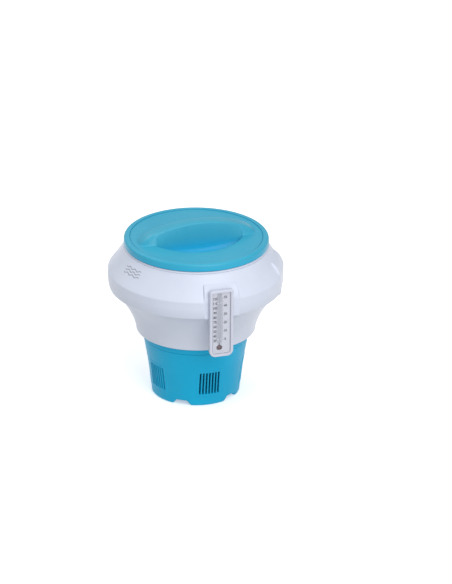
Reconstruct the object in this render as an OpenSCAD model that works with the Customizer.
// Floating chlorine dispenser: a white hollow float ring round a tablet well, with a blue
// slotted cup below, a turning flow regulator inside it, a lift-off lid and a thermometer.
// Origin: centre of the foot rim, on the surface it stands on. +Z up, thermometer towards -Y.

/* [Float ring] */
// Outside radius of the float ring, mm
float_r = 92.5; // [88:0.5:98]
// Wall thickness of the float shells, mm
shell_wall = 2.2; // [1.6:0.1:3]
// Height of the sharp edge between band and shoulder, mm
band_top = 138.1; // [134:0.1:142]
// Height of the band's lower edge, mm
band_bottom = 117.8; // [114:0.1:121]
// Height of the shoulder's top, where the neck ring sits, mm
shoulder_top = 163.5; // [160:0.5:166]
// Radius at the top of the shoulder, mm
shoulder_r = 76.3; // [74:0.1:80]
// Radius of the skirt just above its rolled lip, mm
skirt_r = 62.7; // [60:0.1:65]
// Height of the underside of the skirt, mm
skirt_bottom = 69.9; // [68:0.1:72]

/* [Flat pads] */
// Distance of the pads' flat faces from the centre line, mm
pad_face = 90.2; // [88:0.1:91]
// Width of a pad, mm
pad_w = 39; // [34:0.2:44]
// Height at which a pad's flat face starts to round back, mm
pad_top = 136; // [134:0.5:140]
// Height of the point that a pad's rounded top leans towards, mm
pad_lean_z = 148; // [146:0.5:151]
// Turn from the thermometer's pad to the free pad, degrees
pad_turn = 68; // [60:1:75]

/* [Cup] */
// Radius of the cup at its rounded foot, mm
cup_foot_r = 46.3; // [44:0.1:48]
// Radius of the cup at its bend, mm
cup_mid_r = 49; // [47:0.1:51]
// Radius of the cup at its top edge, mm
cup_top_r = 54.8; // [53:0.1:57]
// Height of the bend in the cup's side, mm
cup_mid_z = 30; // [26:1:34]
// Height of the cup's top edge, mm
cup_top = 62.1; // [61.5:0.1:66]
// Wall thickness of the cup, mm
cup_wall = 2.2; // [1.8:0.1:3]
// Underside of the cup's floor, mm
floor_z = 9; // [8:0.5:10]
// Thickness of the cup's floor, mm
floor_t = 2; // [1.6:0.1:3]
// Radius of the recess under the cup, mm
recess_r = 41.5; // [40:0.1:42]

/* [Vents] */
// Number of vents round the cup
vents = 5; // [3:1:6]
// Width of a grille's raised frame, mm
grille_w = 27.4; // [24:0.1:30]
// Height of the lower edge of a grille's frame, mm
grille_bottom = 10.9; // [10.5:0.1:13]
// Height of the upper edge of a grille's frame, mm
grille_top = 41.8; // [38:0.1:44]
// How far a grille's frame stands proud of the cup, mm
grille_proud = 0.9; // [0.4:0.1:1.5]
// Number of slots in a grille
slots = 7; // [5:1:8]
// Distance between neighbouring slots, mm
slot_pitch = 3.3; // [2.6:0.05:3.4]
// Width of a slot, mm
slot_w = 1.85; // [1.2:0.05:2.2]

/* [Regulator] */
// Gap between the cup's inside and the regulator sleeve, mm
sleeve_gap = 0.4; // [0.3:0.05:0.8]
// Wall thickness of the sleeve, mm
sleeve_wall = 1.6; // [1.2:0.1:2.2]
// Height of the sleeve's top edge, mm
sleeve_top = 43.5; // [43:0.5:50]
// Radius of the regulator's stem, mm
stem_r = 6; // [5:0.5:8]
// Radius of the flow dial, mm
dial_r = 40.8; // [36:0.1:41]

/* [Lid] */
// Outside radius of the lid, mm
lid_r = 76; // [74:0.5:78]
// Height of the lid's lower edge, mm
lid_bottom = 166.4; // [166:0.1:167]
// Height of the top of the lid's rim, mm
rim_top = 174.5; // [173:0.1:176]
// Height of the sunken deck inside the rim, mm
deck_z = 173.5; // [172:0.1:174]
// Highest point of the grip bar, mm
grip_top = 192; // [184:0.5:196]
// Width of the grip bar at its middle, mm
grip_w = 14; // [12:0.5:18]
// Distance of the finger scoops' outer edges from the centre, mm
scoop_reach = 40; // [36:0.5:44]
// Height of the floor of the finger scoops, mm
scoop_floor = 157; // [155:0.5:162]

/* [Thermometer] */
// Width of the thermometer case, mm
case_w = 25.6; // [24:0.2:30]
// Sideways place of the middle of the case, mm
case_x = -1.9; // [-4:0.1:4]
// Height of the case's lower edge, mm
case_bottom = 77.5; // [74:0.5:82]
// Height of the case's upper edge, mm
case_top = 152.5; // [148:0.5:156]
// Thickness of the case, mm
case_t = 5.15; // [4.8:0.05:5.3]
// Sideways place of the glass tube, mm
tube_x = -4; // [-6:0.1:0]
// Height of the middle of the bulb, mm
bulb_z = 87.6; // [85:0.1:90]
// Height of the top of the liquid column, mm
liquid_top = 121; // [95:0.5:145]

/* [Show] */
// Which piece to draw

/* [Hidden] */
$fn = 96;
fit = 0.05;
station = 360 / vents;
seat = 0.1;

foot_round = 3;
well_r = 52;
well_top_r = 65.5;
well_bottom_z = 61;
well_top_z = 150;
well_wall = 2;
mouth_r = 69.5;
neck_r = 75.4;
neck_top = 165.9;
lap_r = 87.2;
lap_top = 126;
pad_meet_r = 79;
pad_meet_z = 156.5;

lid_wall = 2.2;
plug_r = 65;
plug_bottom = 151;
scoop_r = 53;
waist_r = 223;
arch_r = 150;
arch_end = 46;
bar_end = 64.8;
bar_end_r = 100.64;
bar_end_mid = 77;

case_back = pad_face + fit;
case_front = case_back + case_t;
card_back = case_back + 3.1;
screw_x = 7.6;
screw_z = 131;
tube_r = 1.8;
tube_y = 92.7;

blue_lid = [0.30, 0.71, 0.86];
blue_cup = [0.13, 0.62, 0.80];
white = [0.86, 0.87, 0.92];

// Points along a smooth bend from a to c that leans towards b.
function bend(a, b, c, n) = [
  for (i = [0:n])
    let (t = i / n)
    (1 - t) * (1 - t) * a + 2 * t * (1 - t) * b + t * t * c
];

// Points round a circle of radius r from angle a to angle b.
function arc(x, z, r, a, b, n) = [
  for (i = [0:n])
    let (t = a + (b - a) * i / n)
    [x + r * cos(t), z + r * sin(t)]
];

// Radius of the cup's outside at height z.
function cup_r(z) = z < cup_mid_z
  ? cup_foot_r + (cup_mid_r - cup_foot_r) * (z - 3.5) / (cup_mid_z - 3.5)
  : cup_mid_r + (cup_top_r - cup_mid_r) * (z - cup_mid_z) / (cup_top - cup_mid_z);

// Radius of the tablet well's outside at height z.
function tube_out(z) = well_r + (well_top_r - well_r) * (z - 72) / (147 - 72);

module lathe(points) {
  rotate_extrude()
    polygon(points);
}

module ring(r_in, r_out, z0, z1) {
  translate([0, 0, z0])
    difference() {
      cylinder(r = r_out, h = z1 - z0);
      translate([0, 0, -1])
        cylinder(r = r_in, h = z1 - z0 + 2);
    }
}

// A wall that follows the cup's side, between two distances from its outside.
module cup_skin(d_in, d_out, z0, z1) {
  lathe([
    [cup_r(z0) + d_in, z0],
    [cup_r(z0) + d_out, z0],
    [cup_mid_r + d_out, cup_mid_z],
    [cup_r(z1) + d_out, z1],
    [cup_r(z1) + d_in, z1],
    [cup_mid_r + d_in, cup_mid_z]
  ]);
}

module at_stations(first) {
  for (i = [0:vents - 1])
    rotate([0, 0, first + i * station])
      children();
}

// A block in front of the centre line: width w, from y0 to y1 towards -Y, heights z0 to z1.
module front_block(w, y0, y1, z0, z1) {
  translate([-w / 2, -y1, z0])
    cube([w, y1 - y0, z1 - z0]);
}

// A round rod that starts at distance y in front of the centre line and runs inwards.
module round_rod(x, y, z, r, length) {
  translate([x, -y, z])
    rotate([-90, 0, 0])
      cylinder(r = r, h = length);
}

// ---------------------------------------------------------------- float ring

module shell_profile() {
  w = shell_wall;
  lathe(concat(
    [[mouth_r, shoulder_top], [shoulder_r - 1, shoulder_top]],
    [for (i = [14:-1:1]) bend(
      [float_r - 0.4, band_top + 1.2],
      [85, 147.5],
      [shoulder_r, shoulder_top - 1],
      14
    )[i]],
    [
      [float_r - 0.4, band_top + 1.2],
      [float_r - 0.1, band_top],
      [float_r, 129],
      [float_r - 0.9, band_bottom + 2.6],
      [float_r - 1.5, band_bottom + 0.9],
      [float_r - 2.5, band_bottom],
      [lap_r + 0.1, band_bottom],
      [lap_r + 0.1, band_bottom + w],
      [float_r - 0.9 - w, band_bottom + w],
      [float_r - w, 129],
      [float_r - 0.1 - w, band_top - 1]
    ],
    [for (i = [1:13]) bend(
      [float_r - 0.1 - w, band_top - 1],
      [85 - w, 147.5 - w],
      [shoulder_r - w, shoulder_top - w],
      14
    )[i]],
    [[shoulder_r - w - 0.6, shoulder_top - w], [mouth_r, shoulder_top - w]]
  ));
}

// A pad's rounded block, shrunk by inset. Its flat front stands proud by a little, to be trimmed off.
module pad_block(inset, proud, low, back) {
  front = pad_face - inset;
  rotate([90, 0, 0])
    rotate([0, 90, 0])
      translate([0, 0, -pad_w / 2 + inset])
        linear_extrude(pad_w - 2 * inset)
          polygon(concat(
            [[-back, low], [-back, pad_meet_z - inset]],
            [for (p = bend(
              [pad_meet_r - inset, pad_meet_z - inset],
              [pad_face - 1 - inset, pad_lean_z - inset],
              [front, pad_top],
              10
            )) [-p[0], p[1]]],
            [[-front - proud, pad_top], [-front - proud, low]]
          ));
}

module pad_solid() {
  front_block(pad_w - 1, pad_face - 2.8, pad_face + 1, band_bottom + 0.5, pad_top - 2);
  pad_block(0, 1, 128, 72);
}

module float_upper_shell() {
  color(white)
    difference() {
      union() {
        shell_profile();
        pad_solid();
        rotate([0, 0, pad_turn])
          pad_solid();
      }
      for (a = [0, pad_turn])
        rotate([0, 0, a]) {
          front_block(70, pad_face, 110, band_bottom - 2, pad_top + 20);
          pad_block(shell_wall, 0, 120.2, 73);
        }
      for (x = [case_x - screw_x, case_x + screw_x])
        round_rod(x, 94, screw_z, 1.15, 12);
    }
}

module float_lower_shell() {
  w = shell_wall;
  color(white * 0.97)
    lathe(concat(
      [[well_r + 0.6, skirt_bottom], [58.5, skirt_bottom]],
      arc(skirt_r - 3.2, skirt_bottom + 3.3, 3.2, -70, -5, 5),
      [for (i = [1:11]) bend([skirt_r, 73.5], [66.1, 93], [84, 115], 12)[i]],
      [
        [84.2, 115.3],
        [lap_r, band_bottom - 0.2],
        [lap_r, lap_top],
        [lap_r - w, lap_top],
        [lap_r - w, band_bottom + 0.9]
      ],
      [for (i = [11:-1:1]) bend([skirt_r - w, 75.5], [66.1 - w, 94], [84 - w, 116], 12)[i]],
      [
        [skirt_r - w - 0.1, 75.4],
        [skirt_r - w - 1.6, skirt_bottom + w],
        [well_r + 0.6, skirt_bottom + w]
      ]
    ));
}

module foam_ring() {
  color([0.80, 0.80, 0.76])
    lathe(concat(
      [[tube_out(86) + 0.7, 86], [60.9, 86]],
      [for (i = [4:12]) bend([58.6, 74.5], [62.2, 94], [80.4, 116.5], 12)[i]],
      [[83.4, 119.5], [83.4, 125], [tube_out(125) + 0.7, 125]]
    ));
}

module tablet_well() {
  color(white * 0.95)
    lathe([
      [well_r - well_wall, well_bottom_z],
      [well_r, well_bottom_z],
      [well_r, 72.2],
      [well_r + 4, 72.2],
      [well_r + 4, 74],
      [tube_out(74), 74],
      [well_top_r, 147],
      [well_top_r, well_top_z],
      [well_top_r - well_wall, well_top_z],
      [well_top_r - well_wall, 147],
      [tube_out(74) - well_wall, 74],
      [well_r - well_wall, 72.2]
    ]);
}

module neck_ring() {
  color(white)
    lathe([
      [well_top_r + fit, 144],
      [mouth_r - 0.3, 144],
      [mouth_r - 0.3, shoulder_top + seat],
      [neck_r - 0.5, shoulder_top + seat],
      [neck_r, shoulder_top + 0.6],
      [neck_r, neck_top - 0.5],
      [neck_r - 0.5, neck_top],
      [70, neck_top],
      [70, neck_top - 1.6],
      [well_top_r + fit, neck_top - 1.6]
    ]);
}

// ---------------------------------------------------------------- lid

module lid_seal() {
  color([0.20, 0.22, 0.25])
    lathe([
      [66.1, 164.6],
      [69.6, 164.6],
      [69.6, 165.7],
      [69.2, 166.1],
      [66.5, 166.1],
      [66.1, 165.7]
    ]);
}

// Outline of a finger scoop, seen from above, grown by t on every side.
module scoop_outline(t) {
  intersection() {
    translate([0, scoop_r - scoop_reach])
      circle(r = scoop_r + t, $fn = 160);
    translate([0, -grip_w / 2 - waist_r])
      circle(r = waist_r + t, $fn = 240);
  }
}

module scoop(t, z0, z1) {
  for (a = [0, 180])
    rotate([0, 0, a])
      translate([0, 0, z0])
        linear_extrude(z1 - z0)
          scoop_outline(t);
}

// The grip bar's arch seen from the front, shrunk by t. Its ends bend down to the deck.
module arch_outline(t) {
  end_z = grip_top - arch_r + sqrt(arch_r * arch_r - arch_end * arch_end);
  slope = bend([arch_end, end_z - t], [57.5 - t, 181.1 - t], [bar_end - t, deck_z - 1], 8);
  intersection() {
    translate([0, grip_top - arch_r])
      circle(r = arch_r - t, $fn = 240);
    polygon(concat(
      [[-bar_end + t, 160], [bar_end - t, 160]],
      [for (i = [8:-1:0]) slope[i]],
      [[arch_end, 200], [-arch_end, 200]],
      [for (i = [0:8]) [-slope[i][0], slope[i][1]]]
    ));
  }
}

// The bar seen from above: narrow in the middle, flared, and pointed at its ends.
module bar_outline(t) {
  intersection() {
    difference() {
      square([140, 40], center = true);
      for (s = [-1, 1])
        translate([0, s * (grip_w / 2 + waist_r)])
          circle(r = waist_r + t, $fn = 240);
    }
    translate([0, bar_end_mid])
      circle(r = bar_end_r - t, $fn = 240);
    translate([0, -bar_end_mid])
      circle(r = bar_end_r - t, $fn = 240);
  }
}

module grip_bar(t, z0) {
  intersection() {
    translate([0, 30, 0])
      rotate([90, 0, 0])
        linear_extrude(60)
          arch_outline(t);
    translate([0, 0, z0])
      linear_extrude(grip_top - z0 + 5)
        bar_outline(t);
  }
}

module lid() {
  deck_under = deck_z - 2.3;
  color(blue_lid)
    difference() {
      union() {
        lathe(concat(
          [[0, deck_under], [plug_r + 0.4, deck_under], [plug_r + 0.4, lid_bottom]],
          [[71, lid_bottom], [71, deck_under], [lid_r - 2.5, deck_under]],
          [[lid_r - 2.5, lid_bottom], [lid_r - 0.8, lid_bottom]],
          [[lid_r - 0.2, lid_bottom + 0.4], [lid_r, lid_bottom + 1.2]],
          arc(lid_r - 3.2, rim_top - 3.2, 3.2, 0, 90, 8),
          [[70.2, rim_top], [69.8, rim_top - 0.2], [69.5, deck_z - 0.5]],
          [[68.9, deck_z - 0.5], [68.5, deck_z + 0.2], [60, deck_z], [0, deck_z]]
        ));
        scoop(lid_wall, scoop_floor - lid_wall, deck_z - 0.4);
        grip_bar(0, deck_under);
      }
      scoop(0, scoop_floor, grip_top + 5);
      difference() {
        grip_bar(lid_wall, deck_under - 1);
        scoop(lid_wall, deck_under - 2, deck_z - 0.4);
      }
    }
}

module lid_liner() {
  color(white * 0.98)
    lathe([
      [0, plug_bottom],
      [plug_r - 1.5, plug_bottom],
      [plug_r, plug_bottom + 1.5],
      [plug_r, deck_z - 2.3 - seat],
      [plug_r - 1.8, deck_z - 2.3 - seat],
      [plug_r - 1.8, plug_bottom + 1.8],
      [0, plug_bottom + 1.8]
    ]);
}

// ---------------------------------------------------------------- cup and vents

module cup_ring() {
  color(blue_cup)
    lathe([
      [well_r + 0.5, cup_top + 0.15],
      [cup_top_r - 0.3, cup_top + 0.15],
      [cup_top_r + 0.1, cup_top + 0.6],
      [cup_top_r + 1.4, skirt_bottom - 0.2],
      [well_r + 0.5, skirt_bottom - 0.2]
    ]);
}

module foot_notch() {
  translate([0, -34, 0])
    rotate([90, 0, 0])
      linear_extrude(20)
        polygon([[-10, -1], [10, -1], [9, 0.6], [6.6, 4.4], [5.4, 5], [-5.4, 5], [-6.6, 4.4], [-9, 0.6]]);
}

module cup() {
  floor_top = floor_z + floor_t;
  color(blue_cup)
    difference() {
      lathe(concat(
        [[recess_r, 0]],
        arc(cup_foot_r - foot_round, foot_round, foot_round, -90, 0, 7),
        [[cup_mid_r, cup_mid_z], [cup_top_r - 0.4, cup_top - 0.5], [cup_top_r - 0.8, cup_top]],
        [[cup_top_r - cup_wall, cup_top], [cup_mid_r - cup_wall, cup_mid_z]],
        [[cup_r(floor_top) - cup_wall, floor_top], [stem_r + fit, floor_top]],
        [[stem_r + fit, floor_z], [recess_r + 0.5, floor_z], [recess_r + 0.5, 6]]
      ));
      at_stations(station / 2)
        foot_notch();
      at_stations(0)
        front_block(grille_w - 3.8, 36, 60, grille_bottom + 1.3, grille_top - 1.3);
    }
}

module vent_grilles() {
  color(blue_cup * 1.04)
    at_stations(0)
      difference() {
        union() {
          intersection() {
            cup_skin(0.03, grille_proud, grille_bottom, grille_top);
            front_block(grille_w, 30, 60, grille_bottom, grille_top);
          }
          intersection() {
            cup_skin(-cup_wall, 0.3, grille_bottom, grille_top);
            front_block(grille_w - 4, 30, 60, grille_bottom + 1.4, grille_top - 1.4);
          }
        }
        for (i = [0:slots - 1])
          translate([(i - (slots - 1) / 2) * slot_pitch, 0, 0])
            front_block(slot_w, 30, 60, grille_bottom + 2.6, grille_top - 2.6);
      }
}

// ---------------------------------------------------------------- flow regulator

module regulator_sleeve() {
  out = cup_wall + sleeve_gap;
  low = floor_z + floor_t + 0.3;
  color([0.74, 0.80, 0.85])
    difference() {
      cup_skin(-out - sleeve_wall, -out, low, sleeve_top);
      at_stations(0)
        front_block(grille_w - 2.8, 30, 60, 14.2, grille_top - 1);
    }
}

// The grid's bars seen from above.
module grid_outline(rim) {
  difference() {
    union() {
      difference() {
        circle(r = rim);
        circle(r = rim - 4);
      }
      difference() {
        circle(r = 23);
        circle(r = 20);
      }
      circle(r = 10);
      for (i = [0:2 * vents - 1])
        rotate(i * station / 2 - 90)
          translate([i % 2 == 0 ? 8 : 21.5, -1.8])
            square([rim - 2 - (i % 2 == 0 ? 8 : 21.5), 3.6]);
    }
    circle(r = 2.05);
  }
}

module tablet_grid() {
  low = floor_z + floor_t + 0.3;
  rim = cup_r(low) - cup_wall - sleeve_gap - sleeve_wall - fit;
  color([0.70, 0.76, 0.82])
    union() {
      translate([0, 0, low])
        linear_extrude(2)
          grid_outline(rim);
      ring(2.05, stem_r, 6.1, low + 0.5);
    }
}

module flow_dial() {
  color([0.16, 0.55, 0.74])
    difference() {
      union() {
        translate([0, 0, 5])
          cylinder(r = dial_r, h = 3);
        translate([-34, -4.5, 1.5])
          cube([68, 9, 3.6]);
        translate([0, 0, 1.5])
          cylinder(r = 9, h = 3.6);
      }
      translate([0, 0, 6])
        cylinder(r = stem_r + 0.02, h = 5);
      translate([0, 0, 4])
        cylinder(r = 2.2, h = 4);
      translate([0, 0, 1])
        cylinder(r = 4.6, h = 3.9);
      at_stations(station / 2)
        translate([0, -dial_r - 3, 4])
          cylinder(r = 6, h = 6);
    }
}

module dial_screw() {
  color([0.72, 0.73, 0.75])
    difference() {
      union() {
        translate([0, 0, 2.7])
          cylinder(r = 4.2, h = 2.15);
        translate([0, 0, 4])
          cylinder(r = 2, h = 8);
      }
      for (a = [0, 90])
        rotate([0, 0, a])
          translate([-2.4, -0.5, 1])
            cube([4.8, 1, 2.8]);
    }
}

// ---------------------------------------------------------------- thermometer

// The case's upright outline with rounded corners, between two distances from the centre line.
module plate(w, z0, z1, r_top, r_low, y0, y1) {
  translate([case_x, -y0, 0])
    rotate([90, 0, 0])
      linear_extrude(y1 - y0)
        union() {
          translate([-w / 2, z0 + r_low])
            square([w, z1 - z0 - r_low - r_top]);
          translate([-w / 2 + r_low, z0])
            square([w - 2 * r_low, 20]);
          translate([-w / 2 + r_top, z1 - 20])
            square([w - 2 * r_top, 20]);
          for (s = [-1, 1]) {
            translate([s * (w / 2 - r_low), z0 + r_low])
              circle(r = r_low);
            translate([s * (w / 2 - r_top), z1 - r_top])
              circle(r = r_top);
          }
        }
}

module thermometer_case() {
  low = case_bottom + 2.6;
  high = case_top - 1.7;
  color(white * 1.03)
    difference() {
      plate(case_w, case_bottom, case_top, 2.5, 6.5, case_back, case_front);
      plate(case_w - 5.6, low, high, 1.5, 3, card_back, case_front + 1);
      translate([tube_x, 0, 0])
        front_block(4.1, case_back + 0.5, card_back + 1, bulb_z, 149.2);
      round_rod(tube_x, card_back + 1, bulb_z, 3.3, 3.6);
      for (x = [case_x - screw_x, case_x + screw_x])
        round_rod(x, card_back - 0.35, screw_z, 1.15, 5);
    }
}

module case_screws() {
  color([0.75, 0.76, 0.78])
    for (x = [case_x - screw_x, case_x + screw_x]) {
      round_rod(x, card_back - 0.4, screw_z, 1.1, 5.4);
      round_rod(x, 87.95, screw_z, 2.3, 1.3);
    }
}

module scale_card() {
  color([0.93, 0.93, 0.95])
    difference() {
      plate(case_w - 5.8, case_bottom + 2.7, case_top - 1.8, 1.4, 2.9, card_back + fit, card_back + 0.5);
      translate([tube_x, 0, 0])
        front_block(3.9, 90, card_back + 2, bulb_z, 149);
      round_rod(tube_x, card_back + 2, bulb_z, 3.2, 3);
    }
}

module glass_tube() {
  color([0.80, 0.86, 0.90, 0.45])
    difference() {
      union() {
        translate([tube_x, -tube_y, bulb_z])
          cylinder(r = tube_r, h = 148.6 - bulb_z);
        round_rod(tube_x, 94.3, bulb_z, 3.05, 3.2);
      }
      translate([tube_x, -tube_y, bulb_z])
        cylinder(r = 0.65, h = 147 - bulb_z);
      round_rod(tube_x, 93.8, bulb_z, 2.45, 2.2);
    }
}

module liquid_column() {
  color([0.42, 0.10, 0.16])
    union() {
      translate([tube_x, -tube_y, bulb_z])
        cylinder(r = 0.6, h = liquid_top - bulb_z);
      round_rod(tube_x, 93.75, bulb_z, 2.4, 2.1);
    }
}

module tube_clips() {
  color([0.78, 0.79, 0.82])
    for (z = [97, 138])
      difference() {
        translate([tube_x, 0, 0])
          front_block(5.6, card_back + 0.55, 94.5, z - 0.9, z + 0.9);
        translate([tube_x, -tube_y, z - 2])
          cylinder(r = 1.83, h = 4);
      }
}

module thermometer_window() {
  color([0.85, 0.90, 0.94, 0.30])
    plate(case_w - 5.8, case_bottom + 2.7, case_top - 1.8, 1.4, 2.9, 94.6, 95.2);
}

lid();
lid_liner();
lid_seal();
neck_ring();
float_upper_shell();
float_lower_shell();
foam_ring();
tablet_well();
cup_ring();
cup();
vent_grilles();
regulator_sleeve();
tablet_grid();
flow_dial();
dial_screw();
thermometer_case();
case_screws();
scale_card();
glass_tube();
liquid_column();
tube_clips();
thermometer_window();
